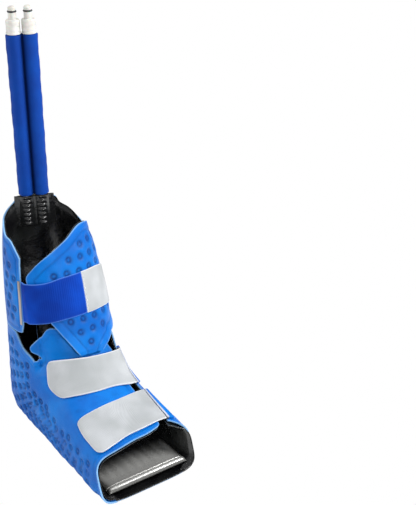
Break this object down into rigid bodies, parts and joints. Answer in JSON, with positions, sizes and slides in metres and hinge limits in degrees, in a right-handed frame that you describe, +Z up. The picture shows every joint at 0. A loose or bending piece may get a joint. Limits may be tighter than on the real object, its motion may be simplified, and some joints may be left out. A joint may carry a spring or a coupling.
{
  "type": "cold compression wrap",
  "caption": "Soft open-toed boot wrap of welded bladder panels for foot and ankle, closed by straps, with a twin insulated hose ending in quick couplings.",
  "frame": {"origin": "on the underside of the sole, below the ankle", "axes": "+Z up along the leg, -Y towards the toe, +X towards the side where the foot straps are fastened"},
  "size_m": [0.136, 0.2837, 0.5369],
  "materials": {
    "panel_fabric": "coated nylon, satin",
    "film": "glossy film",
    "elastic": "woven elastic",
    "trim_tape": "woven tape",
    "hook_strap": "brushed loop",
    "clear_tube": "soft vinyl",
    "foam_sleeve": "closed cell foam skin",
    "coupling_plastic": "moulded",
    "seal_rubber": "matte",
    "spring_steel": "drawn wire"
  },
  "bodies": {
    "boot": {"back_panel": "panel_fabric", "back_liner": "film", "left_foot_panel": "panel_fabric", "left_foot_liner": "film", "right_foot_panel": "panel_fabric", "right_foot_liner": "film", "sole_panel": "panel_fabric", "sole_bladder": "film", "ankle_strap_anchor": "hook_strap", "toe_strap_anchor": "hook_strap", "port_pouch": "film", "supply_port": "clear_tube", "return_port": "clear_tube", "supply_tube": "clear_tube", "return_tube": "clear_tube", "hose_sleeve": "foam_sleeve", "supply_coupling": "coupling_plastic", "return_coupling": "coupling_plastic", "supply_seal": "seal_rubber", "return_seal": "seal_rubber", "supply_spring": "spring_steel", "return_spring": "spring_steel"},
    "calf_flap": {"calf_flap_panel": "panel_fabric", "calf_flap_liner": "film", "calf_flap_trim": "trim_tape"},
    "calf_strap": {"calf_elastic": "elastic", "calf_hook_tab": "hook_strap"},
    "shin_flap": {"shin_flap_panel": "panel_fabric", "shin_flap_liner": "film"},
    "ankle_strap": {"ankle_strap": "hook_strap"},
    "toe_strap": {"toe_strap": "hook_strap"},
    "supply_valve": {"supply_valve": "coupling_plastic"},
    "return_valve": {"return_valve": "coupling_plastic"}
  },
  "joints": [
    {"name": "calf_strap_open", "type": "hinge", "parent": "calf_flap", "child": "calf_strap", "pos_m": [-0.05666, -0.02732, 0.21505], "axis": [-0.0725, -0.1137, -0.9909], "range_deg": [0, 120]},
    {"name": "calf_flap_open", "type": "hinge", "parent": "boot", "child": "calf_flap", "pos_m": [-0.04986, 0.02667, 0.24911], "axis": [-0.054, -0.0484, -0.9974], "range_deg": [0, 30]},
    {"name": "shin_flap_open", "type": "hinge", "parent": "boot", "child": "shin_flap", "pos_m": [0.06088, -0.01936, 0.14443], "axis": [-0.06, 0.1665, 0.9842], "range_deg": [0, 18]},
    {"name": "ankle_strap_open", "type": "hinge", "parent": "boot", "child": "ankle_strap", "pos_m": [0.04842, -0.12623, 0.08196], "axis": [0.1061, 0.9073, 0.4069], "range_deg": [0, 120]},
    {"name": "toe_strap_open", "type": "hinge", "parent": "boot", "child": "toe_strap", "pos_m": [0.04664, -0.1965, 0.06756], "axis": [0.0473, 0.9828, 0.1785], "range_deg": [0, 120]},
    {"name": "supply_valve_press", "type": "slide", "parent": "boot", "child": "supply_valve", "axis": [0, 0, -1], "range_m": [0, 0.003], "stiffness_N_per_m": 300, "deforming": ["supply_spring"]},
    {"name": "return_valve_press", "type": "slide", "parent": "boot", "child": "return_valve", "axis": [0, 0, -1], "range_m": [0, 0.003], "stiffness_N_per_m": 300, "deforming": ["return_spring"]}
  ],
  "couplings": [
    {"joint": "calf_flap_open", "follows": "calf_strap_open", "ratio": 0.25},
    {"joint": "shin_flap_open", "follows": "calf_strap_open", "ratio": 0.15}
  ]
}
